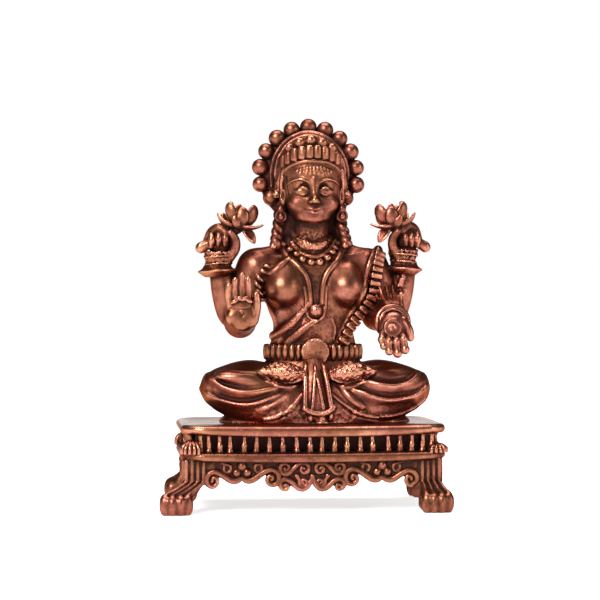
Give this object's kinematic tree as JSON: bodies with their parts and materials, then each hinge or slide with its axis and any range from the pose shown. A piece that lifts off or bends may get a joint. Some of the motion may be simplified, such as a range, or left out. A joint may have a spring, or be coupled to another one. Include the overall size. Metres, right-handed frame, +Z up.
{
  "type": "seated four-armed goddess figurine on a four-legged stool",
  "caption": "Small cast metal goddess seated cross-legged on a four-legged lion-paw stool, with four arms, lotuses, beaded halo, jewellery and pleated cloth.",
  "frame": {"origin": "on the floor, under the middle of the stool", "axes": "+Z up; the figure faces -Y, with her left hand side on +X"},
  "size_m": [0.0574, 0.036, 0.0757],
  "materials": {
    "copper_figure": "antique copper, dark in the recesses and rubbed bright on the high spots",
    "copper_stool": "antique copper, dark in the recesses and rubbed bright on the edges"
  },
  "bodies": {
    "root": {"figure": "copper_figure", "stool": "copper_stool"}
  },
  "joints": []
}
